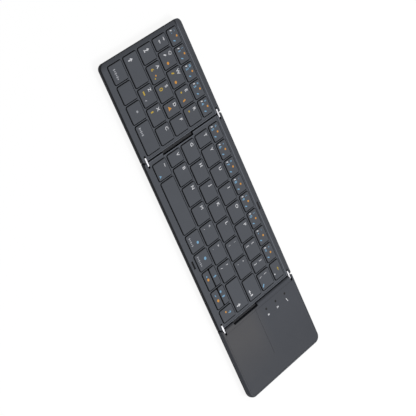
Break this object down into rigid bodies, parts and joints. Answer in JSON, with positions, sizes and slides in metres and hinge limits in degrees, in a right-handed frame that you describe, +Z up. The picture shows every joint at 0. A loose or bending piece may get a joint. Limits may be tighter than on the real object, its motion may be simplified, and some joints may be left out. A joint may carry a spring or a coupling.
{
  "type": "folding keyboard",
  "caption": "Slim wireless keyboard in three hinged panels, two with keys and one with a touch surface; the side panels turn over onto the middle one.",
  "frame": {"origin": "under the middle of the open keyboard, on the surface that it rests on", "axes": "+X along the keyboard to the typist's right, +Y to the number row, +Z up"},
  "size_m": [0.3046, 0.096, 0.0074],
  "materials": {
    "shell_plastic": "fine matte grain",
    "deck_plastic": "fine matte grain",
    "touch_plastic": "smooth matte",
    "key_plastic": "fine matte grain",
    "silicone": "translucent matte",
    "circuit_board": "solder mask",
    "plate_steel": "sheet steel",
    "magnet": "nickel plated",
    "screw_steel": "black oxide",
    "foot_rubber": "matte",
    "pin_steel": "ground",
    "link_metal": "satin",
    "sleeve_rubber": "matte",
    "battery_foil": "foil pouch",
    "socket_metal": "plated",
    "light_guide": "smoked"
  },
  "bodies": {
    "centre_panel": {"centre_bottom_shell": "shell_plastic", "centre_key_frame": "deck_plastic", "centre_dome_sheet": "silicone", "centre_switch_board": "circuit_board", "centre_support_plate": "plate_steel", "centre_magnets": "magnet", "centre_bumpers": "foot_rubber", "centre_screws": "screw_steel", "centre_feet": "foot_rubber", "centre_fold_pins": "pin_steel", "right_cable_sleeve": "sleeve_rubber"},
    "left_panel": {"left_bottom_shell": "shell_plastic", "left_key_frame": "deck_plastic", "left_dome_sheet": "silicone", "left_switch_board": "circuit_board", "left_support_plate": "plate_steel", "left_magnets": "magnet", "left_screws": "screw_steel", "left_feet": "foot_rubber", "left_fold_pins": "pin_steel", "left_cable_sleeve": "sleeve_rubber"},
    "touch_panel": {"touch_bottom_shell": "shell_plastic", "touch_cover": "touch_plastic", "touch_sensor_board": "circuit_board", "control_board": "circuit_board", "battery": "battery_foil", "usb_socket": "socket_metal", "indicator_lights": "light_guide", "touch_magnets": "magnet", "touch_screws": "screw_steel", "touch_feet": "foot_rubber", "touch_fold_pins": "pin_steel"},
    "left_links": {"left_fold_links": "link_metal"},
    "right_links": {"right_fold_links": "link_metal"},
    "left_number_keys": {"left_number_keys": "key_plastic"},
    "tab_key": {"tab_key": "key_plastic"},
    "left_top_letter_keys": {"left_top_letter_keys": "key_plastic"},
    "caps_key": {"caps_key": "key_plastic"},
    "left_home_letter_keys": {"left_home_letter_keys": "key_plastic"},
    "left_shift_key": {"left_shift_key": "key_plastic"},
    "left_bottom_letter_keys": {"left_bottom_letter_keys": "key_plastic"},
    "ctrl_key": {"ctrl_key": "key_plastic"},
    "fn_key": {"fn_key": "key_plastic"},
    "alt_key": {"alt_key": "key_plastic"},
    "left_wide_key": {"left_wide_key": "key_plastic"},
    "centre_number_keys": {"centre_number_keys": "key_plastic"},
    "backspace_key": {"backspace_key": "key_plastic"},
    "centre_top_letter_keys": {"centre_top_letter_keys": "key_plastic"},
    "backslash_key": {"backslash_key": "key_plastic"},
    "centre_home_letter_keys": {"centre_home_letter_keys": "key_plastic"},
    "enter_key": {"enter_key": "key_plastic"},
    "centre_bottom_letter_keys": {"centre_bottom_letter_keys": "key_plastic"},
    "right_shift_key": {"right_shift_key": "key_plastic"},
    "language_key": {"language_key": "key_plastic"},
    "space_key": {"space_key": "key_plastic"},
    "right_alt_key": {"right_alt_key": "key_plastic"},
    "right_ctrl_key": {"right_ctrl_key": "key_plastic"},
    "upper_half_keys": {"upper_half_keys": "key_plastic"},
    "lower_half_keys": {"lower_half_keys": "key_plastic"},
    "end_key": {"end_key": "key_plastic"}
  },
  "joints": [
    {"name": "left_fold", "type": "hinge", "parent": "centre_panel", "child": "left_links", "pos_m": [-0.0641, 0, 0.0049], "axis": [0, 1, 0], "range_deg": [0, 90]},
    {"name": "left_panel_turn", "type": "hinge", "parent": "left_links", "child": "left_panel", "pos_m": [-0.0697, 0, 0.0049], "axis": [0, 1, 0], "range_deg": [0, 90]},
    {"name": "touch_fold", "type": "hinge", "parent": "centre_panel", "child": "right_links", "pos_m": [0.0836, 0, 0.0049], "axis": [0, -1, 0], "range_deg": [0, 90]},
    {"name": "touch_panel_turn", "type": "hinge", "parent": "right_links", "child": "touch_panel", "pos_m": [0.0892, 0, 0.0049], "axis": [0, -1, 0], "range_deg": [0, 90]},
    {"name": "left_number_keys_press", "type": "slide", "parent": "left_panel", "child": "left_number_keys", "axis": [0, 0, -1], "range_m": [0, 0.0011], "stiffness_N_per_m": 1750, "springref_m": -0.0005},
    {"name": "tab_key_press", "type": "slide", "parent": "left_panel", "child": "tab_key", "axis": [0, 0, -1], "range_m": [0, 0.0011], "stiffness_N_per_m": 350, "springref_m": -0.0005, "deforming": ["left_dome_sheet"]},
    {"name": "left_top_letter_keys_press", "type": "slide", "parent": "left_panel", "child": "left_top_letter_keys", "axis": [0, 0, -1], "range_m": [0, 0.0011], "stiffness_N_per_m": 1400, "springref_m": -0.0005},
    {"name": "caps_key_press", "type": "slide", "parent": "left_panel", "child": "caps_key", "axis": [0, 0, -1], "range_m": [0, 0.0011], "stiffness_N_per_m": 350, "springref_m": -0.0005},
    {"name": "left_home_letter_keys_press", "type": "slide", "parent": "left_panel", "child": "left_home_letter_keys", "axis": [0, 0, -1], "range_m": [0, 0.0011], "stiffness_N_per_m": 1400, "springref_m": -0.0005},
    {"name": "left_shift_key_press", "type": "slide", "parent": "left_panel", "child": "left_shift_key", "axis": [0, 0, -1], "range_m": [0, 0.0011], "stiffness_N_per_m": 350, "springref_m": -0.0005},
    {"name": "left_bottom_letter_keys_press", "type": "slide", "parent": "left_panel", "child": "left_bottom_letter_keys", "axis": [0, 0, -1], "range_m": [0, 0.0011], "stiffness_N_per_m": 1050, "springref_m": -0.0005},
    {"name": "ctrl_key_press", "type": "slide", "parent": "left_panel", "child": "ctrl_key", "axis": [0, 0, -1], "range_m": [0, 0.0011], "stiffness_N_per_m": 350, "springref_m": -0.0005},
    {"name": "fn_key_press", "type": "slide", "parent": "left_panel", "child": "fn_key", "axis": [0, 0, -1], "range_m": [0, 0.0011], "stiffness_N_per_m": 350, "springref_m": -0.0005},
    {"name": "alt_key_press", "type": "slide", "parent": "left_panel", "child": "alt_key", "axis": [0, 0, -1], "range_m": [0, 0.0011], "stiffness_N_per_m": 350, "springref_m": -0.0005},
    {"name": "left_wide_key_press", "type": "slide", "parent": "left_panel", "child": "left_wide_key", "axis": [0, 0, -1], "range_m": [0, 0.0011], "stiffness_N_per_m": 350, "springref_m": -0.0005},
    {"name": "centre_number_keys_press", "type": "slide", "parent": "centre_panel", "child": "centre_number_keys", "axis": [0, 0, -1], "range_m": [0, 0.0011], "stiffness_N_per_m": 2800, "springref_m": -0.0005},
    {"name": "backspace_key_press", "type": "slide", "parent": "centre_panel", "child": "backspace_key", "axis": [0, 0, -1], "range_m": [0, 0.0011], "stiffness_N_per_m": 350, "springref_m": -0.0005},
    {"name": "centre_top_letter_keys_press", "type": "slide", "parent": "centre_panel", "child": "centre_top_letter_keys", "axis": [0, 0, -1], "range_m": [0, 0.0011], "stiffness_N_per_m": 2800, "springref_m": -0.0005},
    {"name": "backslash_key_press", "type": "slide", "parent": "centre_panel", "child": "backslash_key", "axis": [0, 0, -1], "range_m": [0, 0.0011], "stiffness_N_per_m": 350, "springref_m": -0.0005},
    {"name": "centre_home_letter_keys_press", "type": "slide", "parent": "centre_panel", "child": "centre_home_letter_keys", "axis": [0, 0, -1], "range_m": [0, 0.0011], "stiffness_N_per_m": 2450, "springref_m": -0.0005},
    {"name": "enter_key_press", "type": "slide", "parent": "centre_panel", "child": "enter_key", "axis": [0, 0, -1], "range_m": [0, 0.0011], "stiffness_N_per_m": 350, "springref_m": -0.0005},
    {"name": "centre_bottom_letter_keys_press", "type": "slide", "parent": "centre_panel", "child": "centre_bottom_letter_keys", "axis": [0, 0, -1], "range_m": [0, 0.0011], "stiffness_N_per_m": 2450, "springref_m": -0.0005},
    {"name": "right_shift_key_press", "type": "slide", "parent": "centre_panel", "child": "right_shift_key", "axis": [0, 0, -1], "range_m": [0, 0.0011], "stiffness_N_per_m": 350, "springref_m": -0.0005},
    {"name": "language_key_press", "type": "slide", "parent": "centre_panel", "child": "language_key", "axis": [0, 0, -1], "range_m": [0, 0.0011], "stiffness_N_per_m": 350, "springref_m": -0.0005},
    {"name": "space_key_press", "type": "slide", "parent": "centre_panel", "child": "space_key", "axis": [0, 0, -1], "range_m": [0, 0.0011], "stiffness_N_per_m": 350, "springref_m": -0.0005, "deforming": ["centre_dome_sheet"]},
    {"name": "right_alt_key_press", "type": "slide", "parent": "centre_panel", "child": "right_alt_key", "axis": [0, 0, -1], "range_m": [0, 0.0011], "stiffness_N_per_m": 350, "springref_m": -0.0005},
    {"name": "right_ctrl_key_press", "type": "slide", "parent": "centre_panel", "child": "right_ctrl_key", "axis": [0, 0, -1], "range_m": [0, 0.0011], "stiffness_N_per_m": 350, "springref_m": -0.0005},
    {"name": "upper_half_keys_press", "type": "slide", "parent": "centre_panel", "child": "upper_half_keys", "axis": [0, 0, -1], "range_m": [0, 0.0011], "stiffness_N_per_m": 700, "springref_m": -0.0005},
    {"name": "lower_half_keys_press", "type": "slide", "parent": "centre_panel", "child": "lower_half_keys", "axis": [0, 0, -1], "range_m": [0, 0.0011], "stiffness_N_per_m": 700, "springref_m": -0.0005},
    {"name": "end_key_press", "type": "slide", "parent": "centre_panel", "child": "end_key", "axis": [0, 0, -1], "range_m": [0, 0.0011], "stiffness_N_per_m": 350, "springref_m": -0.0005}
  ],
  "couplings": [
    {"joint": "left_panel_turn", "follows": "left_fold", "ratio": 1},
    {"joint": "touch_panel_turn", "follows": "touch_fold", "ratio": 1}
  ]
}
